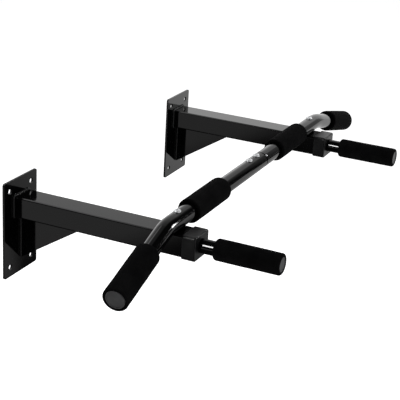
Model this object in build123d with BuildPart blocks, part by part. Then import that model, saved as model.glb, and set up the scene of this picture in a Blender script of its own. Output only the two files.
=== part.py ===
"""Wall-mounted pull up bar, built piece by piece. Units are millimetres.

+Z is up and the wall is the plane Y = 0. The bar stands out from the wall towards -Y and
runs along X. The origin is on the wall, midway between the two wall plates.
"""

import os

from build123d import *

os.makedirs("parts", exist_ok=True)

# ---- the two brackets ----
BRACKET_SPACING = 666.0
PLATE_WIDTH = 110.0
PLATE_HEIGHT = 192.0
PLATE_THICKNESS = 4.0
PLATE_CORNER_RADIUS = 5.0
PLATE_EDGE_ROUND = 0.6
WALL_HOLE_DIAMETER = 11.0
WALL_HOLE_SPACING_X = 71.0
WALL_HOLE_SPACING_Z = 152.5

ARM_WIDTH = 51.0
ARM_HEIGHT = 41.0
ARM_WALL = 2.0
ARM_CORNER_RADIUS = 3.0
ARM_AXIS_Z = 42.9
ARM_END = 377.5
ARM_LENGTH = ARM_END - PLATE_THICKNESS
ARM_TOP_Z = ARM_AXIS_Z + ARM_HEIGHT / 2
ARM_BOTTOM_Z = ARM_AXIS_Z - ARM_HEIGHT / 2

GUSSET_REACH = 139.0
GUSSET_DROP = 88.5
GUSSET_THICKNESS = 4.0
GUSSET_NOSE = 3.0

WELD_LEG = 4.0
WELD_TAPER = 42.0

END_PLATE_THICKNESS = 4.0

CAP_WALL = 2.6
CAP_LENGTH = 26.0
CAP_EDGE_ROUND = 2.4
CAP_HOLE_CLEARANCE = 0.5
CAP_FRONT = ARM_END + CAP_WALL

# ---- the parallel-grip handles ----
HANDLE_DIAMETER = 26.9
HANDLE_WALL = 2.0
HANDLE_TAIL = 10.0
HANDLE_WELD_LEG = 3.0
HANDLE_GRIP_DIAMETER = 40.0
HANDLE_GRIP_START = CAP_FRONT + 28.0
HANDLE_GRIP_END = CAP_FRONT + 153.5
GRIP_END_ROUND = 3.0

# ---- the plastic plugs ----
PLUG_HEAD_THICKNESS = 2.5
PLUG_RECESS = 0.5
PLUG_SPIGOT_LENGTH = 12.0
PLUG_HEAD_ROUND = 0.8
PLUG_DISH_DEPTH = 0.6
PLUG_RIM_WIDTH = 2.5
HANDLE_TUBE_END = HANDLE_GRIP_END - PLUG_RECESS - PLUG_HEAD_THICKNESS

# ---- the bar ----
BAR_DIAMETER = 33.0
BAR_WALL = 2.0
BAR_RADIUS = BAR_DIAMETER / 2
BAR_BORE = BAR_DIAMETER - 2 * BAR_WALL
BAR_Y = -329.0
BAR_Z = ARM_TOP_Z + BAR_RADIUS
BEND_START = 355.5
BEND_RADIUS = 148.0
BEND_ANGLE = 14.0
LEFT_BEND_LEAN = 17.0
RIGHT_BEND_LEAN = 3.0
SEAM_X = 50.5
SEAM_GAP = 3.6
LEFT_INNER_GRIP_START = 145.5
RIGHT_INNER_GRIP_START = 126.5
INNER_GRIP_LENGTH = 138.0
BAR_GRIP_DIAMETER = 46.5
OUTER_GRIP_START = 63.5
OUTER_GRIP_LENGTH = 132.0
BAR_PLUG_HEAD_DIAMETER = 35.0
BAR_TAIL = OUTER_GRIP_START + OUTER_GRIP_LENGTH - PLUG_RECESS - PLUG_HEAD_THICKNESS

# ---- the joint in the middle of the bar ----
SLEEVE_WALL = 2.5
SLEEVE_LEFT_X = -26.0
SLEEVE_LENGTH = 150.0
JOINT_BOLT_X = (-10.0, 26.0)
PIN_X = 54.5
PIN_DIAMETER = 4.0
PIN_ANGLE = 45.0
PIN_PROUD = 0.7
NOTCH_WIDTH = 8.0
NOTCH_DEPTH = 8.0

# ---- the M8 fasteners ----
BOLT_DIAMETER = 8.0
BOLT_CLEARANCE_DIAMETER = 8.6
BOLT_HEAD_DIAMETER = 14.0
BOLT_HEAD_HEIGHT = 4.4
BOLT_HEAD_LAND = 1.2
BOLT_SOCKET_ACROSS_FLATS = 5.0
BOLT_SOCKET_DEPTH = 2.8
BOLT_TIP_CHAMFER = 0.9
ARM_BOLT_LENGTH = 45.0
JOINT_BOLT_LENGTH = 16.0
NUT_ACROSS_FLATS = 13.0
NUT_HEIGHT = 6.5
JOINT_NUT_DROP = 6.45
NUT_CHAMFER = 0.6


def hexagon_radius(across_flats):
    """Centre-to-corner distance of a hexagon."""
    return across_flats / 3**0.5


def save(solid, name):
    """Name one finished piece and write its STEP file."""
    solid.label = name
    export_step(solid, f"parts/{name}.step")


def bracket_section(reach):
    """Upright plane facing the room at a distance from the wall, with sketch Y pointing up."""
    return Plane(origin=(0, -reach, 0), x_dir=(1, 0, 0), z_dir=(0, -1, 0))


def button_bolt(length):
    """Button-head bolt: underside of the head at the origin, shank down, hex socket on top."""
    with BuildPart() as bolt:
        with BuildSketch(Plane.XZ):
            with BuildLine():
                Polyline((0, BOLT_HEAD_HEIGHT), (0, -length), (BOLT_DIAMETER / 2, -length))
                Line((BOLT_DIAMETER / 2, -length), (BOLT_DIAMETER / 2, 0))
                Line((BOLT_DIAMETER / 2, 0), (BOLT_HEAD_DIAMETER / 2, 0))
                Line((BOLT_HEAD_DIAMETER / 2, 0), (BOLT_HEAD_DIAMETER / 2, BOLT_HEAD_LAND))
                EllipticalCenterArc(
                    (0, BOLT_HEAD_LAND),
                    BOLT_HEAD_DIAMETER / 2,
                    BOLT_HEAD_HEIGHT - BOLT_HEAD_LAND,
                    arc_size=90,
                )
            make_face()
        revolve(axis=Axis.Z)
        chamfer(bolt.edges().sort_by(Axis.Z)[0], BOLT_TIP_CHAMFER)
        with BuildSketch(Plane.XY.offset(BOLT_HEAD_HEIGHT)):
            RegularPolygon(hexagon_radius(BOLT_SOCKET_ACROSS_FLATS), 6)
        extrude(amount=-BOLT_SOCKET_DEPTH, mode=Mode.SUBTRACT)
    return bolt.part


def hex_nut(height):
    """Plain hexagon nut with two flats along X: top face at the origin, body below."""
    with BuildPart() as nut:
        with BuildSketch():
            RegularPolygon(hexagon_radius(NUT_ACROSS_FLATS), 6)
        extrude(amount=-height)
        with BuildSketch(mode=Mode.PRIVATE) as round_outline:
            Circle(hexagon_radius(NUT_ACROSS_FLATS))
        with BuildPart(mode=Mode.INTERSECT):
            extrude(round_outline.sketch, amount=-height)
            chamfer(edges().filter_by(GeomType.CIRCLE), NUT_CHAMFER)
        Hole(BOLT_DIAMETER / 2)
    return nut.part


def tube_plug(head_diameter, spigot_diameter):
    """Push-in plug: tube mouth at the origin, spigot down the tube (-Z), dished head outside."""
    with BuildPart() as plug:
        with BuildSketch():
            Circle(head_diameter / 2)
        extrude(amount=PLUG_HEAD_THICKNESS)
        fillet(plug.edges().group_by(Axis.Z)[-1], PLUG_HEAD_ROUND)
        with BuildSketch(Plane.XY.offset(PLUG_HEAD_THICKNESS)):
            Circle(head_diameter / 2 - PLUG_RIM_WIDTH)
        extrude(amount=-PLUG_DISH_DEPTH, mode=Mode.SUBTRACT)
        with BuildSketch():
            Circle(spigot_diameter / 2)
        extrude(amount=-PLUG_SPIGOT_LENGTH)
        chamfer(plug.edges().group_by(Axis.Z)[0], PLUG_HEAD_ROUND)
    return plug.part


def foam_sleeve(length, bore_diameter, grip_diameter, plug_diameter):
    """Foam grip standing on the origin; its far end is opened out to take a plug's head."""
    with BuildPart() as foam:
        with BuildSketch():
            Circle(grip_diameter / 2)
        extrude(amount=length)
        fillet(foam.edges(), GRIP_END_ROUND)
        with BuildSketch():
            Circle(bore_diameter / 2)
        extrude(amount=length, mode=Mode.SUBTRACT)
        with BuildSketch(Plane.XY.offset(length)):
            Circle(plug_diameter / 2)
        extrude(amount=-PLUG_RECESS - PLUG_HEAD_THICKNESS, mode=Mode.SUBTRACT)
    return foam.part


# The two sides mirror each other, so both come from one set of drawings. Only the lean of the
# bar's bend, the place of the inner grip and the ends that meet at the seam differ.
for side_name, side, bend_lean, inner_grip_start in (
    ("left", -1, LEFT_BEND_LEAN, LEFT_INNER_GRIP_START),
    ("right", 1, RIGHT_BEND_LEAN, RIGHT_INNER_GRIP_START),
):
    bracket_x = side * BRACKET_SPACING / 2

    # Wall plate: flat steel with a hole near each rounded corner.
    with BuildPart() as wall_plate:
        with BuildSketch(bracket_section(0)):
            with Locations((bracket_x, 0)):
                RectangleRounded(PLATE_WIDTH, PLATE_HEIGHT, PLATE_CORNER_RADIUS)
                with GridLocations(WALL_HOLE_SPACING_X, WALL_HOLE_SPACING_Z, 2, 2):
                    Circle(WALL_HOLE_DIAMETER / 2, mode=Mode.SUBTRACT)
        extrude(amount=PLATE_THICKNESS)
        front_face = wall_plate.faces().sort_by(Axis.Y)[0]
        fillet(front_face.outer_wire().edges(), PLATE_EDGE_ROUND)
    save(wall_plate.part, f"{side_name}_wall_plate")

    # Arm: rectangular tube straight out from the plate. Its top has a hole for the bar's bolt.
    with BuildPart() as arm_tube:
        with BuildSketch(bracket_section(PLATE_THICKNESS)):
            with Locations((bracket_x, ARM_AXIS_Z)):
                RectangleRounded(ARM_WIDTH, ARM_HEIGHT, ARM_CORNER_RADIUS)
                RectangleRounded(
                    ARM_WIDTH - 2 * ARM_WALL,
                    ARM_HEIGHT - 2 * ARM_WALL,
                    ARM_CORNER_RADIUS - ARM_WALL,
                    mode=Mode.SUBTRACT,
                )
        extrude(amount=ARM_LENGTH)
        with Locations(Location((bracket_x, BAR_Y, ARM_TOP_Z))):
            Cylinder(BOLT_CLEARANCE_DIAMETER / 2, 4 * ARM_WALL, mode=Mode.SUBTRACT)
    save(arm_tube.part, f"{side_name}_arm_tube")

    # Gusset: blunt-nosed triangle under the middle of the arm.
    with BuildPart() as gusset:
        with BuildSketch(Plane.YZ.offset(bracket_x)):
            Polygon(
                (-PLATE_THICKNESS, ARM_BOTTOM_Z),
                (-GUSSET_REACH, ARM_BOTTOM_Z),
                (-GUSSET_REACH, ARM_BOTTOM_Z - GUSSET_NOSE),
                (-PLATE_THICKNESS - GUSSET_NOSE, ARM_BOTTOM_Z - GUSSET_DROP),
                (-PLATE_THICKNESS, ARM_BOTTOM_Z - GUSSET_DROP),
                align=None,
            )
        extrude(amount=GUSSET_THICKNESS / 2, both=True)
    save(gusset.part, f"{side_name}_gusset")

    # Weld: one bead round the arm at the plate, running on down and along both gusset faces.
    with BuildPart() as bracket_weld:
        with BuildSketch(bracket_section(PLATE_THICKNESS)):
            with Locations((bracket_x, ARM_AXIS_Z)):
                RectangleRounded(
                    ARM_WIDTH + 2 * WELD_LEG,
                    ARM_HEIGHT + 2 * WELD_LEG,
                    ARM_CORNER_RADIUS + WELD_LEG,
                )
        extrude(amount=WELD_LEG, taper=WELD_TAPER)
        with BuildSketch(Plane.XY.offset(ARM_BOTTOM_Z)):
            with Locations((bracket_x, -PLATE_THICKNESS)):
                Polygon(
                    (-GUSSET_THICKNESS / 2 - WELD_LEG, 0),
                    (-GUSSET_THICKNESS / 2, -WELD_LEG),
                    (GUSSET_THICKNESS / 2, -WELD_LEG),
                    (GUSSET_THICKNESS / 2 + WELD_LEG, 0),
                    align=None,
                )
        extrude(amount=-GUSSET_DROP)
        with BuildSketch(bracket_section(PLATE_THICKNESS)):
            with Locations((bracket_x, ARM_BOTTOM_Z)):
                Polygon(
                    (-GUSSET_THICKNESS / 2 - WELD_LEG, 0),
                    (-GUSSET_THICKNESS / 2, -WELD_LEG),
                    (GUSSET_THICKNESS / 2, -WELD_LEG),
                    (GUSSET_THICKNESS / 2 + WELD_LEG, 0),
                    align=None,
                )
        extrude(amount=GUSSET_REACH - PLATE_THICKNESS)
        with BuildSketch(bracket_section(0)):
            with Locations((bracket_x, ARM_AXIS_Z)):
                RectangleRounded(ARM_WIDTH, ARM_HEIGHT, ARM_CORNER_RADIUS)
        extrude(amount=ARM_LENGTH, mode=Mode.SUBTRACT)
        with BuildSketch(Plane.YZ.offset(bracket_x)):
            with Locations((-PLATE_THICKNESS, ARM_BOTTOM_Z)):
                Rectangle(2 * GUSSET_REACH, 2 * GUSSET_DROP, align=(Align.MAX, Align.MAX))
        extrude(amount=GUSSET_THICKNESS / 2, both=True, mode=Mode.SUBTRACT)
    save(bracket_weld.part, f"{side_name}_bracket_weld")

    # End plate: closes the arm's mouth and carries the handle.
    with BuildPart() as arm_end_plate:
        with BuildSketch(bracket_section(ARM_END)):
            with Locations((bracket_x, ARM_AXIS_Z)):
                RectangleRounded(
                    ARM_WIDTH - 2 * ARM_WALL,
                    ARM_HEIGHT - 2 * ARM_WALL,
                    ARM_CORNER_RADIUS - ARM_WALL,
                )
                Circle(HANDLE_DIAMETER / 2, mode=Mode.SUBTRACT)
        extrude(amount=-END_PLATE_THICKNESS)
    save(arm_end_plate.part, f"{side_name}_arm_end_plate")

    # Handle: straight round tube through the end plate.
    handle_back = ARM_END - END_PLATE_THICKNESS - HANDLE_TAIL
    with BuildPart() as handle_tube:
        with BuildSketch(bracket_section(handle_back)):
            with Locations((bracket_x, ARM_AXIS_Z)):
                Circle(HANDLE_DIAMETER / 2)
                Circle(HANDLE_DIAMETER / 2 - HANDLE_WALL, mode=Mode.SUBTRACT)
        extrude(amount=HANDLE_TUBE_END - handle_back)
    save(handle_tube.part, f"{side_name}_handle_tube")

    # Handle weld: a ring of bead round the tube behind the end plate, inside the arm.
    with BuildPart() as handle_weld:
        with BuildSketch(bracket_section(ARM_END - END_PLATE_THICKNESS)):
            with Locations((bracket_x, ARM_AXIS_Z)):
                Circle(HANDLE_DIAMETER / 2 + HANDLE_WELD_LEG)
        extrude(amount=-HANDLE_WELD_LEG, taper=WELD_TAPER)
        with BuildSketch(bracket_section(ARM_END)):
            with Locations((bracket_x, ARM_AXIS_Z)):
                Circle(HANDLE_DIAMETER / 2)
        extrude(amount=-ARM_WIDTH, mode=Mode.SUBTRACT)
    save(handle_weld.part, f"{side_name}_handle_weld")

    # Cap: plastic sleeve over the arm's end, with a round hole for the handle.
    with BuildPart() as arm_end_cap:
        with BuildSketch(bracket_section(CAP_FRONT)):
            with Locations((bracket_x, ARM_AXIS_Z)):
                RectangleRounded(
                    ARM_WIDTH + 2 * CAP_WALL,
                    ARM_HEIGHT + 2 * CAP_WALL,
                    ARM_CORNER_RADIUS + CAP_WALL,
                )
        extrude(amount=-CAP_LENGTH)
        fillet(arm_end_cap.edges().group_by(Axis.Y)[0], CAP_EDGE_ROUND)
        with BuildSketch(bracket_section(ARM_END)):
            with Locations((bracket_x, ARM_AXIS_Z)):
                RectangleRounded(ARM_WIDTH, ARM_HEIGHT, ARM_CORNER_RADIUS)
        extrude(amount=-CAP_LENGTH, mode=Mode.SUBTRACT)
        with BuildSketch(bracket_section(CAP_FRONT)):
            with Locations((bracket_x, ARM_AXIS_Z)):
                Circle(HANDLE_DIAMETER / 2 + CAP_HOLE_CLEARANCE)
        extrude(amount=-CAP_LENGTH, mode=Mode.SUBTRACT)
    save(arm_end_cap.part, f"{side_name}_arm_end_cap")

    # Handle grip and plug, both placed along the handle.
    handle_axis = Plane(origin=(bracket_x, 0, ARM_AXIS_Z), z_dir=(0, -1, 0))
    handle_grip = handle_axis.offset(HANDLE_GRIP_START) * foam_sleeve(
        HANDLE_GRIP_END - HANDLE_GRIP_START, HANDLE_DIAMETER, HANDLE_GRIP_DIAMETER, HANDLE_DIAMETER
    )
    save(handle_grip, f"{side_name}_handle_grip")
    handle_plug = handle_axis.offset(HANDLE_TUBE_END) * tube_plug(
        HANDLE_DIAMETER, HANDLE_DIAMETER - 2 * HANDLE_WALL
    )
    save(handle_plug, f"{side_name}_handle_plug")

    # The bolt that clamps the bar down on the arm, and its nut welded under the arm's top wall.
    arm_bolt = Pos(bracket_x, BAR_Y, BAR_Z + BAR_RADIUS) * button_bolt(ARM_BOLT_LENGTH)
    save(arm_bolt, f"{side_name}_arm_bolt")
    arm_nut = Pos(bracket_x, BAR_Y, ARM_TOP_Z - ARM_WALL) * hex_nut(NUT_HEIGHT)
    save(arm_nut, f"{side_name}_arm_nut")

    # One half of the bar: straight from the seam, then bent down and slightly forward.
    bar_axis = Plane(origin=(0, BAR_Y, BAR_Z), x_dir=(side, 0, 0), z_dir=(0, -side, 0))
    bend_plane = bar_axis.rotated((-bend_lean, 0, 0))
    with BuildLine(bend_plane) as bar_path:
        straight = Line((side * SEAM_X + SEAM_GAP / 2, 0), (BEND_START, 0))
        bend = JernArc(straight @ 1, straight % 1, BEND_RADIUS, -BEND_ANGLE)
        Line(bend @ 1, bend @ 1 + BAR_TAIL * (bend % 1))
    bar_end = Plane(origin=bar_path.wire() @ 1, z_dir=bar_path.wire() % 1)
    with BuildPart() as bar_tube:
        with BuildSketch(Plane(origin=bar_path.wire() @ 0, z_dir=bar_path.wire() % 0)):
            Circle(BAR_RADIUS)
            Circle(BAR_BORE / 2, mode=Mode.SUBTRACT)
        sweep(path=bar_path.wire())
        with Locations(Location((bracket_x, BAR_Y, BAR_Z))):
            Cylinder(BOLT_CLEARANCE_DIAMETER / 2, 2 * BAR_DIAMETER, mode=Mode.SUBTRACT)
        if side < 0:
            # The left half is bolted to the sleeve through its top wall.
            for bolt_x in JOINT_BOLT_X:
                with Locations(Location((bolt_x, BAR_Y, BAR_Z + BAR_RADIUS))):
                    Cylinder(BOLT_CLEARANCE_DIAMETER / 2, BAR_RADIUS, mode=Mode.SUBTRACT)
        else:
            # The right half has a rounded notch in its end that drops over the locating pin.
            notch_plane = Plane(origin=(SEAM_X, BAR_Y, BAR_Z)).rotated((PIN_ANGLE, 0, 0))
            with BuildSketch(notch_plane):
                with Locations((NOTCH_DEPTH - NOTCH_WIDTH / 2, 0)):
                    Circle(NOTCH_WIDTH / 2)
                Rectangle(
                    NOTCH_DEPTH - NOTCH_WIDTH / 2, NOTCH_WIDTH, align=(Align.MIN, Align.CENTER)
                )
            extrude(amount=BAR_DIAMETER, mode=Mode.SUBTRACT)
    save(bar_tube.part, f"{side_name}_bar_tube")

    # Foam grip on the straight middle part of this half.
    inner_grip_foot = Plane(origin=(side * inner_grip_start, BAR_Y, BAR_Z), z_dir=(side, 0, 0))
    inner_grip = inner_grip_foot * foam_sleeve(
        INNER_GRIP_LENGTH, BAR_DIAMETER, BAR_GRIP_DIAMETER, BAR_DIAMETER
    )
    save(inner_grip, f"{side_name}_inner_grip")

    # Foam grip and plug on the bent end.
    outer_grip = bar_end.offset(OUTER_GRIP_START - BAR_TAIL) * foam_sleeve(
        OUTER_GRIP_LENGTH, BAR_DIAMETER, BAR_GRIP_DIAMETER, BAR_PLUG_HEAD_DIAMETER
    )
    save(outer_grip, f"{side_name}_outer_grip")
    bar_plug = bar_end * tube_plug(BAR_PLUG_HEAD_DIAMETER, BAR_BORE)
    save(bar_plug, f"{side_name}_bar_plug")

# Joint sleeve: inner tube that lines up the two halves.
with BuildPart() as joint_sleeve:
    with BuildSketch(Plane(origin=(SLEEVE_LEFT_X, BAR_Y, BAR_Z), z_dir=(1, 0, 0))):
        Circle(BAR_BORE / 2)
        Circle(BAR_BORE / 2 - SLEEVE_WALL, mode=Mode.SUBTRACT)
    extrude(amount=SLEEVE_LENGTH)
    for bolt_x in JOINT_BOLT_X:
        with Locations(Location((bolt_x, BAR_Y, BAR_Z + BAR_RADIUS))):
            Cylinder(BOLT_CLEARANCE_DIAMETER / 2, BAR_RADIUS, mode=Mode.SUBTRACT)
    with BuildSketch(Plane(origin=(PIN_X, BAR_Y, BAR_Z)).rotated((PIN_ANGLE, 0, 0))):
        Circle(PIN_DIAMETER / 2)
    extrude(amount=BAR_RADIUS, mode=Mode.SUBTRACT)
save(joint_sleeve.part, "joint_sleeve")

# Locating pin: pressed into the sleeve's wall, standing proud through the notch.
pin_axis = Plane(origin=(PIN_X, BAR_Y, BAR_Z)).rotated((PIN_ANGLE, 0, 0))
with BuildPart() as joint_pin:
    with BuildSketch(pin_axis.offset(BAR_BORE / 2 - SLEEVE_WALL)):
        Circle(PIN_DIAMETER / 2)
    extrude(amount=SLEEVE_WALL + BAR_WALL + PIN_PROUD)
    fillet(joint_pin.faces().sort_by(Axis.Z)[-1].edges(), PIN_PROUD)
save(joint_pin.part, "joint_pin")

# Joint bolts and the nuts welded inside the sleeve.
for number, bolt_x in enumerate(JOINT_BOLT_X, start=1):
    joint_bolt = Pos(bolt_x, BAR_Y, BAR_Z + BAR_RADIUS) * button_bolt(JOINT_BOLT_LENGTH)
    save(joint_bolt, f"joint_bolt_{number}")
    joint_nut = Pos(bolt_x, BAR_Y, BAR_Z + BAR_RADIUS - JOINT_NUT_DROP) * hex_nut(NUT_HEIGHT)
    save(joint_nut, f"joint_nut_{number}")
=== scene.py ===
# %% [markdown]
# # A wall-mounted pull up bar
#
# The real object is two welded steel brackets with a round bar bolted across them. The frame
# loaded here holds every hard piece at its true size, in metres: +Z is up, the wall is the
# plane Y = 0, and the bar stands out towards -Y. This lesson dresses that frame. It gives each
# surface its finish, models the foam grips and the weld beads, and sets up the picture.

# %% Load the frame and keep its size
import math

import bmesh
import bpy
from mathutils import Matrix, Vector, noise


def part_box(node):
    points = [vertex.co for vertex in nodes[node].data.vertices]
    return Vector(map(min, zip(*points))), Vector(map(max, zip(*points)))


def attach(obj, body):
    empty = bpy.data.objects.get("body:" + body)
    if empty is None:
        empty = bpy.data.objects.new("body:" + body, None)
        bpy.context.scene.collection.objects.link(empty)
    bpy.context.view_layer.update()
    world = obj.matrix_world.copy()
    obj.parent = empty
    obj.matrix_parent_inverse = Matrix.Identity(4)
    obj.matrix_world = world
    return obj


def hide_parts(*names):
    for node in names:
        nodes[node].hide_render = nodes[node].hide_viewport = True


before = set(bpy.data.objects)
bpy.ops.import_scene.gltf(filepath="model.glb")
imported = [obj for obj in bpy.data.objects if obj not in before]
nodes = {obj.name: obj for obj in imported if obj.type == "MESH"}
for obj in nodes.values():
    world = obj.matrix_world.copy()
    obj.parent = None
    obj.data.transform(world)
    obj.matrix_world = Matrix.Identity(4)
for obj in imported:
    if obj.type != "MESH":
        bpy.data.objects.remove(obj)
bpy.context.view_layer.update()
print("pieces in the frame:", len(nodes))

# %% [markdown]
# ## The camera
#
# A long lens far from the bar keeps its lines nearly parallel, as catalogue pictures do. The
# camera stands to the left and in front of the wall, above the bar. Its heading is measured
# from straight-at-the-wall towards the right, and the frame is tipped by a few degrees. The
# camera could be aimed with a constraint, but three angles say plainly where it looks, and
# the tip is easy to add.

# %% Place the camera
camera_place = Vector((-2.0802, -1.1532, 0.8659))
camera_heading = math.radians(66.02)
camera_dip = math.radians(21.03)
camera_tip = math.radians(3.36)

look = Vector((
    math.sin(camera_heading) * math.cos(camera_dip),
    math.cos(camera_heading) * math.cos(camera_dip),
    -math.sin(camera_dip),
))
level_right = Vector((math.cos(camera_heading), -math.sin(camera_heading), 0.0))
level_up = level_right.cross(look)
camera_right = math.cos(camera_tip) * level_right + math.sin(camera_tip) * level_up
camera_up = math.cos(camera_tip) * level_up - math.sin(camera_tip) * level_right

camera_data = bpy.data.cameras.new("catalogue_camera")
camera_data.sensor_width = 36.0
camera_data.lens = 106.42
camera_data.shift_x = -0.0060
camera_data.shift_y = -0.0034
camera_data.clip_end = 60.0
camera = bpy.data.objects.new("catalogue_camera", camera_data)
turn = Matrix((camera_right, camera_up, -look)).transposed()
camera.matrix_world = Matrix.Translation(camera_place) @ turn.to_4x4()
bpy.context.scene.collection.objects.link(camera)
bpy.context.scene.camera = camera
print("camera to the middle of the wall:", round(camera_place.length, 3), "m")

# %% [markdown]
# ## The studio
#
# Gloss black paint has almost no colour of its own: what is seen on it is the room. So the room
# is designed as a set of reflections. Lit cards hang round the object with gaps between them,
# and the gaps show as dark lines on every tube.
#
# The world comes first. It is almost black to the sides, above and below, and pale in front of
# the bar and behind the wall, so that the other sides of the object read as well. The camera
# itself sees plain white in every direction.

# %% Helpers for shader nodes
def new_node(tree, kind, **settings):
    """Add one shader node and set its sockets by name, or else its properties."""
    made = tree.nodes.new(kind)
    for name, value in settings.items():
        socket = made.inputs.get(name.replace("_", " "))
        if socket is not None:
            socket.default_value = value
        else:
            setattr(made, name, value)
    return made


def remap(tree, value, from_low, from_high, to_low, to_high, soft=False):
    """Stretch a value from one range to another, with soft shoulders if asked."""
    stretched = new_node(
        tree, "ShaderNodeMapRange",
        From_Min=from_low, From_Max=from_high, To_Min=to_low, To_Max=to_high,
    )
    if soft:
        stretched.interpolation_type = "SMOOTHSTEP"
    tree.links.new(value, stretched.inputs["Value"])
    return stretched.outputs[0]


def combine(tree, operation, first, second):
    """A maths node on two values; the second may be a plain number."""
    maths = new_node(tree, "ShaderNodeMath", operation=operation)
    tree.links.new(first, maths.inputs[0])
    if isinstance(second, (int, float)):
        maths.inputs[1].default_value = second
    else:
        tree.links.new(second, maths.inputs[1])
    return maths.outputs[0]


print("shader helpers are ready")

# %% [markdown]
# A picture of a real studio could light the world, but a rule is lighter and easy to tune. The
# rule here looks only at how directly a ray points to or from the wall.

# %% Build the world
DIM, PALE = 0.02, 0.75
PALE_STARTS, PALE_FULL = 0.76, 0.90
WHITE = (1.0, 1.0, 1.0, 1.0)
world = bpy.data.worlds.new("studio_surround")
bpy.context.scene.world = world
world.use_nodes = True
sky = world.node_tree
sky.nodes.clear()
heading = new_node(sky, "ShaderNodeTexCoord")
split = new_node(sky, "ShaderNodeSeparateXYZ")
sky.links.new(heading.outputs["Generated"], split.inputs[0])
to_or_from_wall = combine(sky, "ABSOLUTE", split.outputs["Y"], 0.0)
pale_part = remap(sky, to_or_from_wall, PALE_STARTS, PALE_FULL, DIM, PALE, soft=True)
surround = new_node(sky, "ShaderNodeBackground", Color=WHITE)
sky.links.new(pale_part, surround.inputs["Strength"])
white_paper = new_node(sky, "ShaderNodeBackground", Color=WHITE, Strength=1.05)
seen_or_reflected = new_node(sky, "ShaderNodeMixShader")
ray = new_node(sky, "ShaderNodeLightPath")
sky.links.new(ray.outputs["Is Camera Ray"], seen_or_reflected.inputs[0])
sky.links.new(surround.outputs[0], seen_or_reflected.inputs[1])
sky.links.new(white_paper.outputs[0], seen_or_reflected.inputs[2])
sky_out = new_node(sky, "ShaderNodeOutputWorld")
sky.links.new(seen_or_reflected.outputs[0], sky_out.inputs["Surface"])
bpy.context.scene.view_settings.view_transform = "Standard"
print("surround brightness from", DIM, "to", PALE)

# %% [markdown]
# A pale floor lies well below, as the bar hangs above head height. Studios often sweep white
# paper up behind the object, but the world is already white there, so one flat sheet does. It
# is left out of the reflections, because a lit card stands for the ground there.

# %% The floor
def flat_sheet(name, corners):
    """A stage sheet with these four corners."""
    mesh = bpy.data.meshes.new(name)
    mesh.from_pydata(corners, [], [(0, 1, 2, 3)])
    sheet = bpy.data.objects.new(name, mesh)
    bpy.context.scene.collection.objects.link(sheet)
    return sheet


FLOOR_HEIGHT = -1.3
FLOOR_REACH = 30.0
floor = flat_sheet("pale_floor", [
    (-FLOOR_REACH, -FLOOR_REACH, FLOOR_HEIGHT),
    (FLOOR_REACH, -FLOOR_REACH, FLOOR_HEIGHT),
    (FLOOR_REACH, FLOOR_REACH, FLOOR_HEIGHT),
    (-FLOOR_REACH, FLOOR_REACH, FLOOR_HEIGHT),
])
floor_paint = bpy.data.materials.new("pale_floor_paint")
floor_paint.use_nodes = True
floor_shader = floor_paint.node_tree.nodes["Principled BSDF"]
floor_shader.inputs["Base Color"].default_value = (0.9, 0.9, 0.9, 1.0)
floor_shader.inputs["Roughness"].default_value = 0.9
floor_shader.inputs["Emission Color"].default_value = WHITE
floor_shader.inputs["Emission Strength"].default_value = 0.9
floor.data.materials.append(floor_paint)
floor.visible_glossy = False
print("floor is", -FLOOR_HEIGHT, "m below the middle of the plates")

# %% [markdown]
# The lit cards stand on end, square to the bar: two on the right, one above the other, and one
# on the left. They show only in reflections. Each gets its own brightness pattern, worked out
# from the height and the distance from the wall of the point on the card, so one card can fade
# like a real softbox. An area lamp could not, because it is one brightness all over.

# %% A lit card
def light_card(card, pattern):
    """Make a sheet glow, in reflections only. pattern(tree, y, z) returns its brightness."""
    glow = bpy.data.materials.new(f"{card.name}_glow")
    glow.use_nodes = True
    tree = glow.node_tree
    tree.nodes.clear()
    place = new_node(tree, "ShaderNodeTexCoord")
    parts = new_node(tree, "ShaderNodeSeparateXYZ")
    tree.links.new(place.outputs["Object"], parts.inputs[0])
    light = new_node(tree, "ShaderNodeEmission", Color=WHITE)
    brightness = pattern(tree, parts.outputs["Y"], parts.outputs["Z"])
    tree.links.new(brightness, light.inputs["Strength"])
    out = new_node(tree, "ShaderNodeOutputMaterial")
    tree.links.new(light.outputs[0], out.inputs["Surface"])
    card.data.materials.append(glow)
    card.visible_camera = False
    card.visible_diffuse = False
    card.visible_shadow = False


def lit_card(name, x, near_y, far_y, low_z, high_z, pattern):
    """A glowing upright card at this x."""
    card = flat_sheet(name, [
        (x, near_y, low_z), (x, far_y, low_z), (x, far_y, high_z), (x, near_y, high_z),
    ])
    light_card(card, pattern)


# %% [markdown]
# The right-hand card is brightest just above the bar's height and fades upwards. In front of the
# handles it falls off quickly, and that fall is the dark line which runs along the front of the
# bar. Below it a second card, greyer towards its foot, stands for the lit ground. Its low front
# part is dark, which shades the bottom corner of the near wall plate.

# %% The cards on the right
def upper_fade(tree, y, z):
    """Brightest low down; dying away in front of the handles."""
    low_part = remap(tree, z, 0.28, 0.50, 1.15, 0.66, soft=True)
    high_part = remap(tree, z, 0.55, 2.0, 0.0, 0.50)
    height_fade = combine(tree, "SUBTRACT", low_part, high_part)
    dying_front = remap(tree, y, -0.82, -0.52, 0.0, 0.34)
    bright_rest = remap(tree, y, -0.53, -0.45, 0.0, 0.66, soft=True)
    front_fade = combine(tree, "ADD", dying_front, bright_rest)
    return combine(tree, "MULTIPLY", height_fade, front_fade)


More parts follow.
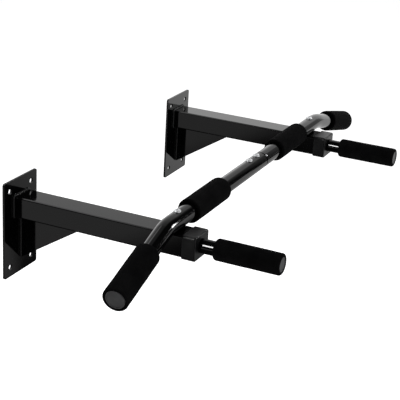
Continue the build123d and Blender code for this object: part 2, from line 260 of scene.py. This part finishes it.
def ground_fade(tree, y, z):
    """Grey below and paler above, with a dark patch at its foot."""
    height_fade = remap(tree, z, -0.45, -0.05, 0.40, 1.0)
    front_fade = remap(tree, y, -0.80, -0.45, 0.66, 1.0)
    foot_part = remap(tree, z, -0.62, -0.50, 1.0, 0.0)
    inner_part = remap(tree, y, -0.82, -0.785, 0.0, 0.9)
    dark_patch = combine(tree, "MULTIPLY", foot_part, inner_part)
    lit_part = remap(tree, dark_patch, 0.0, 1.0, 1.0, 0.0)
    both_fades = combine(tree, "MULTIPLY", height_fade, front_fade)
    return combine(tree, "MULTIPLY", both_fades, lit_part)


RIGHT_CARD_X = 0.85
CARD_SPLIT_Z = 0.03
CARD_FAR_Y = 2.4
lit_card("right_upper_card", RIGHT_CARD_X, -0.85, CARD_FAR_Y, CARD_SPLIT_Z, 2.2, upper_fade)
lit_card("right_ground_card", RIGHT_CARD_X, -1.7, CARD_FAR_Y, -1.2, CARD_SPLIT_Z, ground_fade)
print("cards on the right:", RIGHT_CARD_X, "m from the middle")


# %% [markdown]
# The left-hand card is what the arms' flat sides show. Its slanted edge lets the far arm's side
# darken towards its end.

# %% The card on the left
def slanted_fade(tree, y, z):
    """Dark to pale across a slanted line."""
    slant = combine(tree, "ADD", y, combine(tree, "MULTIPLY", z, 2.0))
    return remap(tree, slant, -0.70, -0.48, 0.03, 0.42, soft=True)


LEFT_CARD_X = -1.2
lit_card("left_card", LEFT_CARD_X, -0.2, CARD_FAR_Y, -1.3, -0.03, slanted_fade)
print("card on the left:", -LEFT_CARD_X, "m from the middle")

# %% [markdown]
# A last card lies flat overhead, behind the wall line. Only the rounded upper edges of the arms
# and the weld beads look that way, and it draws a fine pale line along them.

# %% The card overhead
OVERHEAD_Z = 1.5
OVERHEAD_NEAR_Y, OVERHEAD_FAR_Y = 0.36, 1.8
OVERHEAD_LEFT_X, OVERHEAD_RIGHT_X = -1.6, 0.8


def overhead_fade(tree, y, z):
    """Dimmer along the card's near edge."""
    return remap(tree, y, OVERHEAD_NEAR_Y, 0.60, 0.5, 1.4)


overhead = flat_sheet("overhead_card", [
    (OVERHEAD_LEFT_X, OVERHEAD_NEAR_Y, OVERHEAD_Z),
    (OVERHEAD_RIGHT_X, OVERHEAD_NEAR_Y, OVERHEAD_Z),
    (OVERHEAD_RIGHT_X, OVERHEAD_FAR_Y, OVERHEAD_Z),
    (OVERHEAD_LEFT_X, OVERHEAD_FAR_Y, OVERHEAD_Z),
])
light_card(overhead, overhead_fade)
print("overhead card at", OVERHEAD_Z, "m")

# %% [markdown]
# Lamps add the small, bright things: the crisp white streak along each handle and the glint
# where the near end of the bar begins to bend. Each is a narrow strip, because a lamp's shape is
# what gloss paint shows. Two broad soft lights, from above and from the front, lift the foam.
# They are hidden in reflections so that they don't wash out the dark lines.

# %% The lamps
def softbox(name, place, aim, width, depth, watts, in_reflections=True):
    """A rectangular area light at place, facing aim."""
    data = bpy.data.lights.new(name, "AREA")
    data.shape = "RECTANGLE"
    data.size = width
    data.size_y = depth
    data.energy = watts
    light = bpy.data.objects.new(name, data)
    facing = (Vector(aim) - Vector(place)).to_track_quat("-Z", "Y")
    light.matrix_world = Matrix.Translation(place) @ facing.to_matrix().to_4x4()
    light.visible_glossy = in_reflections
    light.visible_camera = False
    bpy.context.scene.collection.objects.link(light)


BAR_MIDDLE = (0.0, -0.33, 0.05)
NEAR_HANDLE = (-0.333, -0.395, 0.043)
NEAR_BEND = (-0.36, -0.33, 0.08)
softbox("top_softbox", (0.3, 0.2, 3.2), BAR_MIDDLE, 4.0, 4.0, 150.0, in_reflections=False)
softbox("front_softbox", (1.2, -3.2, 0.6), BAR_MIDDLE, 2.4, 1.6, 60.0, in_reflections=False)
softbox("handle_streak_lamp", (-1.88, 0.336, 1.04), NEAR_HANDLE, 0.16, 0.62, 9.0)
softbox("bend_glint_lamp", (1.63, -1.745, 0.605), NEAR_BEND, 0.12, 0.50, 5.0)

# %% [markdown]
# ## Finishes
#
# Every finish is mixed from patterns computed in the object's own space, so it keeps its scale
# in millimetres wherever the surface is. Painted textures would need an unwrapped mesh; these
# need none. One helper starts a material, two more let a pattern vary its colour and its
# roughness, and a last one raises its surface.

# %% Start a finish
def start_finish(name):
    """A new material, its node tree, its Principled shader and the object-space coordinates."""
    material = bpy.data.materials.new(name)
    material.use_nodes = True
    tree = material.node_tree
    shader = tree.nodes["Principled BSDF"]
    place = new_node(tree, "ShaderNodeTexCoord").outputs["Object"]
    return material, tree, shader, place


def cloud(tree, place, scale, detail=3.0, roughness=0.5):
    """A noise pattern; scale is how many features there are to a metre."""
    pattern = new_node(tree, "ShaderNodeTexNoise", Scale=scale, Detail=detail, Roughness=roughness)
    tree.links.new(place, pattern.inputs["Vector"])
    return pattern.outputs["Fac"]


def spread(tree, value, low, high):
    """Stretch the useful middle of a noise pattern to run from low to high."""
    return remap(tree, value, 0.3, 0.7, low, high)


def vary_colour(tree, shader, pattern, dark, light):
    """Let the base colour wander between two colours by a noise pattern."""
    mixed = new_node(tree, "ShaderNodeMix", data_type="RGBA")
    tree.links.new(spread(tree, pattern, 0.0, 1.0), mixed.inputs["Factor"])
    for end, colour in (("A", dark), ("B", light)):
        socket = next(s for s in mixed.inputs if s.name == end and s.type == "RGBA")
        socket.default_value = (*colour, 1.0)
    result = next(s for s in mixed.outputs if s.type == "RGBA")
    tree.links.new(result, shader.inputs["Base Color"])


def vary_roughness(tree, shader, pattern, low, high):
    """Let the roughness wander between two values by a noise pattern."""
    tree.links.new(spread(tree, pattern, low, high), shader.inputs["Roughness"])


def bump(tree, shader, value, depth, strength=1.0, after=None):
    """Raise the surface by a pattern; depth is in metres."""
    raised = new_node(tree, "ShaderNodeBump", Strength=strength, Distance=depth)
    tree.links.new(value, raised.inputs["Height"])
    if after is not None:
        tree.links.new(after, raised.inputs["Normal"])
    tree.links.new(raised.outputs[0], shader.inputs["Normal"])
    return raised.outputs[0]


print("finish helpers are ready")

# %% [markdown]
# ### Gloss black powder paint
#
# Powder paint is sprayed on as dust and melted in an oven. It flows almost flat, but keeps a
# faint waviness called orange peel, a few millimetres across. Handling leaves a thin haze in
# patches, so the roughness wanders a little. The peel is microns deep, so a bump shows it
# better than real shape could.

# %% Mix the black paint
PEEL_DEPTH = 0.000006
FINE_PEEL_SHARE = 0.08


def black_paint():
    """Gloss black paint with patchy haze and orange peel."""
    material, tree, shader, place = start_finish("gloss_black_powder_paint")
    patches = cloud(tree, place, 14.0, detail=5.0)
    vary_colour(tree, shader, patches, (0.0003, 0.0003, 0.00035), (0.0009, 0.0009, 0.001))
    vary_roughness(tree, shader, patches, 0.05, 0.11)
    shader.inputs["IOR"].default_value = 1.5
    wide_peel = bump(tree, shader, cloud(tree, place, 220.0, detail=1.0), PEEL_DEPTH)
    fine_peel = cloud(tree, place, 1400.0, detail=2.0)
    bump(tree, shader, fine_peel, PEEL_DEPTH * FINE_PEEL_SHARE, after=wide_peel)
    return material


paint_finish = black_paint()
print("paint:", paint_finish.name)

# %% [markdown]
# ### Foam
#
# The grips are closed-cell rubber foam: the colour is a deep matt black, and the skin is a
# field of tiny burst cells. A cell pattern gives the pits and a finer noise the torn skin
# between them. Foam scatters light inside its cells and hardly shines, so its specular level
# is almost nil.

# %% Mix the foam
def grip_foam():
    """Matt black closed-cell foam."""
    material, tree, shader, place = start_finish("black_grip_foam")
    cells = new_node(tree, "ShaderNodeTexVoronoi", Scale=900.0)
    tree.links.new(place, cells.inputs["Vector"])
    skin = cloud(tree, place, 2600.0, detail=3.0, roughness=0.6)
    worn = cloud(tree, place, 38.0, detail=4.0)
    vary_colour(tree, shader, worn, (0.0010, 0.0010, 0.0011), (0.0030, 0.0030, 0.0031))
    vary_roughness(tree, shader, worn, 0.78, 0.95)
    shader.inputs["IOR"].default_value = 1.35
    shader.inputs["Specular IOR Level"].default_value = 0.04
    pits = bump(tree, shader, cells.outputs["Distance"], 0.00022, 0.8)
    bump(tree, shader, skin, 0.00008, 0.6, after=pits)
    return material


foam_finish = grip_foam()
print("foam:", foam_finish.name)

# %% [markdown]
# ### Moulded plastics
#
# The arm caps are black plastic from a spark-eroded mould, which leaves an even, fine grain.
# The tube plugs are a softer grey plastic with a duller, coarser face. One recipe makes both,
# with its own colours, roughness and grain for each.

# %% Mix the plastics
def moulded_plastic(name, dark, light, rough_low, rough_high, grain_depth):
    """Moulded plastic with fine mould grain and slight flow marks."""
    material, tree, shader, place = start_finish(name)
    flow = cloud(tree, place, 55.0, detail=3.0)
    vary_colour(tree, shader, flow, dark, light)
    vary_roughness(tree, shader, flow, rough_low, rough_high)
    shader.inputs["IOR"].default_value = 1.48
    bump(tree, shader, cloud(tree, place, 2400.0, detail=2.0), grain_depth, 0.7)
    return material


cap_finish = moulded_plastic(
    "black_cap_plastic", dark=(0.002, 0.002, 0.0022), light=(0.005, 0.005, 0.0052),
    rough_low=0.34, rough_high=0.44, grain_depth=0.000006,
)
plug_finish = moulded_plastic(
    "grey_plug_plastic", dark=(0.030, 0.030, 0.031), light=(0.042, 0.042, 0.043),
    rough_low=0.42, rough_high=0.55, grain_depth=0.00003,
)
print("plastics:", cap_finish.name, plug_finish.name)

# %% [markdown]
# ### Bright zinc, and a sleeve painted dark for the seam's shade
#
# The bolts, nuts and the pin are zinc plated, which is bright but slightly cloudy. A pure
# mirror metal would turn black wherever the dark room shows in it, so the plate is mixed as
# partly metallic. The sleeve inside the bar is drawn tube, seen only in the seam. It is made
# near black and barely reflecting: painted shade in the seam, so the seam reads as a dark line.

# %% Mix the metals
def cloudy_metal(name, metallic, dark, light, rough_low, rough_high):
    """Plated or coated metal with clouding and a fine grain."""
    material, tree, shader, place = start_finish(name)
    shader.inputs["Metallic"].default_value = metallic
    clouding = cloud(tree, place, 420.0, detail=4.0)
    vary_colour(tree, shader, clouding, dark, light)
    vary_roughness(tree, shader, clouding, rough_low, rough_high)
    bump(tree, shader, cloud(tree, place, 3000.0, detail=2.0), 0.000012, 0.6)
    return material


zinc_finish = cloudy_metal(
    "bright_zinc_plate", metallic=0.65, dark=(0.74, 0.75, 0.77), light=(0.84, 0.85, 0.86),
    rough_low=0.24, rough_high=0.34,
)
# The sleeve is near black with almost no shine: painted shade for the seam between the bar's
# halves.
sleeve_seam_shade_finish = cloudy_metal(
    "dark_sleeve_steel", metallic=0.0, dark=(0.001, 0.001, 0.001), light=(0.003, 0.003, 0.003),
    rough_low=0.60, rough_high=0.75,
)
sleeve_seam_shade_shader = sleeve_seam_shade_finish.node_tree.nodes["Principled BSDF"]
sleeve_seam_shade_shader.inputs["Specular IOR Level"].default_value = 0.05
print("metals:", zinc_finish.name, sleeve_seam_shade_finish.name)

# %% [markdown]
# ### Painted weld
#
# A weld bead cools in ripples. Paint follows them but pools in the valleys, and the rounded
# ridges catch light from every side, so a bead looks paler than the flat steel beside it. Its
# colour is also painted paler on the ripples' crests and darker in their valleys: painted
# highlight and shade that follow the bump.

# %% Mix the painted weld
def painted_weld():
    """Black paint over a rippled, spattered bead, with painted highlight on its crests."""
    material, tree, shader, place = start_finish("painted_weld_bead")
    ripples_and_painted_crest_light = cloud(tree, place, 700.0, detail=4.0)
    # The same ripple pattern paints the colour paler on the crests and darker in the valleys:
    # painted highlight and shade.
    vary_colour(tree, shader, ripples_and_painted_crest_light, (0.001, 0.001, 0.0011), (0.004, 0.004, 0.0042))
    vary_roughness(tree, shader, ripples_and_painted_crest_light, 0.12, 0.26)
    bump(tree, shader, ripples_and_painted_crest_light, 0.00012, 0.6)
    return material


weld_finish = painted_weld()
print("weld:", weld_finish.name)

# %% [markdown]
# ## Dress the hard pieces
#
# The frame's own steel and plastic shapes are already right, so they only take a finish. Each
# piece's name says what it is, so a short list pairs words with finishes, and a piece with none
# of these words is painted steel. That is shorter than naming all the pieces one by one.

# %% Give each frame piece its finish
FINISH_BY_WORD = (
    ("weld", weld_finish),
    ("cap", cap_finish),
    ("plug", plug_finish),
    ("grip", foam_finish),
    ("sleeve", sleeve_seam_shade_finish),
    ("pin", zinc_finish),
    ("bolt", zinc_finish),
    ("nut", zinc_finish),
)
for name, piece in nodes.items():
    finish = next((f for word, f in FINISH_BY_WORD if word in name), paint_finish)
    for slot in piece.material_slots:
        slot.material = finish
print("dressed", len(nodes), "frame pieces")

# %% [markdown]
# ## Foam grips
#
# A foam grip is a length of extruded foam hose pushed on to the tube. Cutting and pushing leave
# its ends softly rounded, and its skin is never perfectly straight. A cylinder with a bevel
# would look machined, so a turned profile gives the form, as on a lathe, and a very small slow
# noise gives the hand-made wander.

# %% Measure a sleeve in the frame
def sleeve_facts(name, axis):
    """Middle, half length, outer radius and bore radius of a sleeve that lies along axis."""
    low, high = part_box(name)
    middle = (low + high) / 2
    half_length, outer, bore = 0.0, 0.0, 1.0
    for vertex in nodes[name].data.vertices:
        offset = vertex.co - middle
        along = offset.dot(axis)
        away = (offset - along * axis).length
        half_length = max(half_length, abs(along))
        outer = max(outer, away)
        bore = min(bore, away)
    return middle, half_length, outer, bore


one_low, one_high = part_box("left_inner_grip")
print("box of one grip:", [round(1000 * value, 1) for value in one_high - one_low], "mm")

# %% [markdown]
# The profile runs once round the sleeve's wall in section: along the outside, over the soft
# end, down the end face, back through the bore. Each ring of the lathe repeats it.

# %% Turn a closed profile round an axis
LATHE_STEPS = 72
SKIN_WANDER = 0.00022
WANDER_PER_METRE = 45.0


def turned(name, middle, axis, profile):
    """Revolve a closed profile of (distance along, radius, softness) round an axis."""
    side = axis.orthogonal().normalized()
    other = axis.cross(side)
    shape = bmesh.new()
    rings = []
    for step in range(LATHE_STEPS):
        angle = 2 * math.pi * step / LATHE_STEPS
        out = math.cos(angle) * side + math.sin(angle) * other
        ring = []
        for along, radius, softness in profile:
            point = middle + along * axis + radius * out
            if softness:
                point += out * SKIN_WANDER * softness * noise.noise(point * WANDER_PER_METRE)
            ring.append(shape.verts.new(point))
        rings.append(ring)
    count = len(profile)
    for step in range(LATHE_STEPS):
        ring, following = rings[step], rings[(step + 1) % LATHE_STEPS]
        for i in range(count):
            j = (i + 1) % count
            shape.faces.new((ring[i], ring[j], following[j], following[i]))
    bmesh.ops.recalc_face_normals(shape, faces=shape.faces)
    mesh = bpy.data.meshes.new(name)
    shape.to_mesh(mesh)
    shape.free()
    mesh.polygons.foreach_set("use_smooth", [True] * len(mesh.polygons))
    piece = bpy.data.objects.new(name, mesh)
    bpy.context.scene.collection.objects.link(piece)
    return piece


print("lathe steps:", LATHE_STEPS)

# %% [markdown]
# An end is rounded a little less deep than it is long, which looks softer than a quarter circle.
# The bore's lip is softened by three small steps. The far end of an outer grip is opened out,
# so that the head of the bar's plug sits down in it.

# %% The section of a foam sleeve
ROUND_STEPS = 8
ROUND_DEPTH_SHARE = 0.8
LIP_STEPS = ((0.0001, 0.0012, 0.3), (0.0004, 0.0004, 0.0), (0.0014, 0.0, 0.0))
STRAIGHT_STEPS = 40
NEAR_BORE_START = 0.004
SEAT_STEP = 0.0004


def soft_end(half_length, outer, mouth, rounding, sign):
    """Profile points over one rounded end, from the outside to the mouth of the bore."""
    points = []
    for i in range(ROUND_STEPS + 1):
        angle = math.pi / 2 * i / ROUND_STEPS
        along = half_length - rounding * (1 - math.sin(angle))
        radius = outer - rounding * ROUND_DEPTH_SHARE * (1 - math.cos(angle))
        points.append((sign * along, radius, 1.0))
    for inward, outward_step, softness in LIP_STEPS:
        points.append((sign * (half_length - inward), mouth + outward_step, softness))
    return points


def foam_profile(half_length, outer, bore, rounding, plug_radius, plug_seat):
    """Closed section of a foam sleeve whose far end (+) is opened for a plug."""
    straight = half_length - rounding
    points = list(reversed(soft_end(half_length, outer, bore, rounding, -1)))
    for i in range(1, STRAIGHT_STEPS):
        points.append((-straight + 2 * straight * i / STRAIGHT_STEPS, outer, 1.0))
    points += soft_end(half_length, outer, plug_radius, rounding, 1)
    points.append((half_length - plug_seat, plug_radius, 0.0))
    points.append((half_length - plug_seat - SEAT_STEP, bore, 0.0))
    points.append((-half_length + NEAR_BORE_START, bore, 0.0))
    return points


print("rounded ends have", ROUND_STEPS, "steps")

# %% [markdown]
# The bar's ends bend down by fourteen degrees. Each bend also leans towards the room: the left
# one by seventeen degrees and the right one by three. That gives the two outer grips their
# directions. The inner grips lie along the bar and the handle grips point out of the wall.

# %% Directions of the six grips
BEND_ANGLE = math.radians(14.0)
BEND_LEAN = {"left": math.radians(17.0), "right": math.radians(3.0)}
OUTWARD = {"left": Vector((-1.0, 0.0, 0.0)), "right": Vector((1.0, 0.0, 0.0))}
OUT_OF_WALL = Vector((0.0, -1.0, 0.0))
DOWN = Vector((0.0, 0.0, -1.0))


def bar_end_direction(side):
    """Unit vector along the bent end of the bar, pointing out of the tube."""
    downward = Vector((0.0, -math.sin(BEND_LEAN[side]), -math.cos(BEND_LEAN[side])))
    return math.cos(BEND_ANGLE) * OUTWARD[side] + math.sin(BEND_ANGLE) * downward


def grip_direction(side, which):
    """Unit vector along a grip, from the middle of the object outwards."""
    if which == "handle":
        return OUT_OF_WALL
    if which == "inner":
        return OUTWARD[side]
    return bar_end_direction(side)


print("left bar end points along", [round(value, 3) for value in bar_end_direction("left")])

# %% [markdown]
# The handle grips are a thinner hose with a larger rounding at their ends, so they taper a
# little before the end face. The bar grips are thicker and cut squarer. Each outer grip's seat is
# sized from its plug, measured round the middle of the plug's own box. On the sloping bar end
# that middle lies just off the tube's line, so the seat stands about a millimetre clear of the
# plug's head all round.

# %% Make the six grips
END_ROUNDING = {"handle": 0.0048, "inner": 0.0032, "outer": 0.0036}
BORE_GAP = 0.00005
PLUG_SEAT = 0.003
for side in ("left", "right"):
    for which in ("inner", "outer", "handle"):
        name = f"{side}_{which}_grip"
        axis = grip_direction(side, which)
        middle, half_length, outer, bore = sleeve_facts(name, axis)
        plug_radius = bore
        if which == "outer":
            plug_radius = sleeve_facts(f"{side}_bar_plug", axis)[2]
        profile = foam_profile(
            half_length, outer, bore + BORE_GAP, END_ROUNDING[which],
            plug_radius + BORE_GAP, PLUG_SEAT,
        )
        grip = turned(f"{name}_foam", middle, axis, profile)
        grip.data.materials.append(foam_finish)
        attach(grip, "root")
        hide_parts(name)
        print(name, round(2000 * half_length, 1), "mm long,", round(2000 * outer, 1), "mm across")

# %% [markdown]
# ## Weld beads
#
# A bead is laid as a row of overlapping puddles, so its section swells and shrinks along its
# path. A bump on a plain fillet would leave its outline straight. Sweeping a small rounded
# triangle along the corner between two plates, and letting its size pulse, gives that look in
# real shape, which catches highlights as paint over steel does.

# %% One slice of a bead
RIPPLE = 0.0019
STEPS_PER_RIPPLE = 6
BASE_SIZE, PULSE_SIZE, UNEVEN_SIZE = 0.86, 0.12, 0.10
UNEVEN_PER_METRE = 160.0
TAPER_LENGTH, TAPER_START = 0.003, 0.35
ROOT_DEPTH = 0.0002
FACE_STEPS = 6
FACE_POWER = 1.3
FACE_BULGE = 0.10 / 0.78
TINY = 1e-9


def bead_size(leg, spot, wanted, total, closed):
    """Leg length at this distance along the bead: rippled, uneven, tapered at free ends."""
    pulse = abs(math.sin(math.pi * wanted / RIPPLE))
    uneven = noise.noise(spot * UNEVEN_PER_METRE)
    size = leg * (BASE_SIZE + PULSE_SIZE * pulse + UNEVEN_SIZE * uneven)
    if closed:
        return size
    return size * min(1.0, TAPER_START + min(wanted, total - wanted) / TAPER_LENGTH)


def bead_slice(shape, spot, one, two, size):
    """A ring of points: the root just inside the corner, then the bead's swollen face."""
    ring = [shape.verts.new(spot - ROOT_DEPTH * (one + two))]
    for k in range(FACE_STEPS + 1):
        angle = math.pi / 2 * k / FACE_STEPS
        along_one = math.cos(angle) ** FACE_POWER * one
        along_two = math.sin(angle) ** FACE_POWER * two
        swell = 1 + FACE_BULGE * math.sin(2 * angle)
        ring.append(shape.verts.new(spot + size * swell * (along_one + along_two)))
    return ring


print("a ripple is", 1000 * RIPPLE, "mm long")

# %% [markdown]
# The slices are placed at even distances along the path. At each one, two directions say how the
# bead's legs lie on the two plates. On a path with corners those directions turn as well, so
# they are given as functions of the place.

# %% Sweep one bead along a corner
def bead(shape, path, first_face, second_face, leg, closed):
    """Add a bead to shape. path is points in order; the two face functions give the directions
    of the bead's legs at a share of the way along stretch i."""
    ends = path[1:] + (path[:1] if closed else [])
    lengths = [0.0]
    for a, b in zip(path, ends):
        lengths.append(lengths[-1] + (b - a).length)
    total = lengths[-1]
    count = int(total / RIPPLE * STEPS_PER_RIPPLE)
    rings = []
    for step in range(count if closed else count + 1):
        wanted = total * step / count
        i = next(k for k in range(len(ends)) if lengths[k + 1] >= wanted - TINY)
        share = (wanted - lengths[i]) / max(lengths[i + 1] - lengths[i], TINY)
        spot = path[i].lerp(ends[i], share)
        size = bead_size(leg, spot, wanted, total, closed)
        one, two = first_face(i, share), second_face(i, share)
        rings.append(bead_slice(shape, spot, one, two, size))
    following_rings = rings[1:] + (rings[:1] if closed else [])
    for ring, following in zip(rings, following_rings):
        for k in range(len(ring)):
            m = (k + 1) % len(ring)
            shape.faces.new((ring[k], ring[m], following[m], following[k]))
    if not closed:
        shape.faces.new(rings[0])
        shape.faces.new(list(reversed(rings[-1])))


print("the bead sweep is ready")

# %% [markdown]
# One bead runs right round the arm at the plate. Two more run down the plate, one on either side
# of the gusset, and two along the underside of the arm. The arm's own corners are rounded, so
# the path round it is too.

# %% A path round the arm
CORNER_STEPS = 6


def rounded_box_path(low_x, high_x, low_z, high_z, y, radius):
    """Points and outward directions round a rounded rectangle standing in the plane Y = y."""
    points, outs = [], []
    corners = (
        (high_x - radius, high_z - radius, 0.0),
        (low_x + radius, high_z - radius, 90.0),
        (low_x + radius, low_z + radius, 180.0),
        (high_x - radius, low_z + radius, 270.0),
    )
    for x, z, start in corners:
        for i in range(CORNER_STEPS + 1):
            angle = math.radians(start + 90.0 * i / CORNER_STEPS)
            out = Vector((math.cos(angle), 0.0, math.sin(angle)))
            points.append(Vector((x, y, z)) + radius * out)
            outs.append(out)
    return points, outs


print("each corner turns in", CORNER_STEPS, "steps")

# %% Lay the beads of one bracket
BEAD_LEG = 0.0036
ARM_CORNER_RADIUS = 0.003
ROOT_CLEARANCE = 0.003
TIP_CLEARANCE = 0.0004


def always(direction):
    """A face function for a straight bead, whose legs never turn."""
    return lambda i, share: direction


def bracket_beads(side):
    """The five weld beads of one bracket as one object."""
    arm_low, arm_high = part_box(f"{side}_arm_tube")
    gusset_low, gusset_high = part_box(f"{side}_gusset")
    plate_face = gusset_high.y
    under_arm = arm_low.z
    shape = bmesh.new()
    path, outs = rounded_box_path(
        arm_low.x, arm_high.x, arm_low.z, arm_high.z, plate_face, ARM_CORNER_RADIUS,
    )

    def away_from_arm(i, share):
        return outs[i].lerp(outs[(i + 1) % len(outs)], share).normalized()

    bead(shape, path, away_from_arm, always(OUT_OF_WALL), BEAD_LEG, closed=True)
    for face_x, away in ((gusset_low.x, -1.0), (gusset_high.x, 1.0)):
        sideways = always(Vector((away, 0.0, 0.0)))
        down_plate = [
            Vector((face_x, plate_face, under_arm - ROOT_CLEARANCE)),
            Vector((face_x, plate_face, gusset_low.z + TIP_CLEARANCE)),
        ]
        bead(shape, down_plate, sideways, always(OUT_OF_WALL), BEAD_LEG, closed=False)
        along_arm = [
            Vector((face_x, plate_face - ROOT_CLEARANCE, under_arm)),
            Vector((face_x, gusset_low.y + TIP_CLEARANCE, under_arm)),
        ]
        bead(shape, along_arm, sideways, always(DOWN), BEAD_LEG, closed=False)
    bmesh.ops.recalc_face_normals(shape, faces=shape.faces)
    mesh = bpy.data.meshes.new(f"{side}_weld_beads")
    shape.to_mesh(mesh)
    shape.free()
    mesh.polygons.foreach_set("use_smooth", [True] * len(mesh.polygons))
    mesh.materials.append(weld_finish)
    beads = bpy.data.objects.new(f"{side}_weld_beads", mesh)
    bpy.context.scene.collection.objects.link(beads)
    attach(beads, "root")
    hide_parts(f"{side}_bracket_weld")
    return beads


for side in ("left", "right"):
    made = bracket_beads(side)
    print(made.name, len(made.data.vertices), "points")
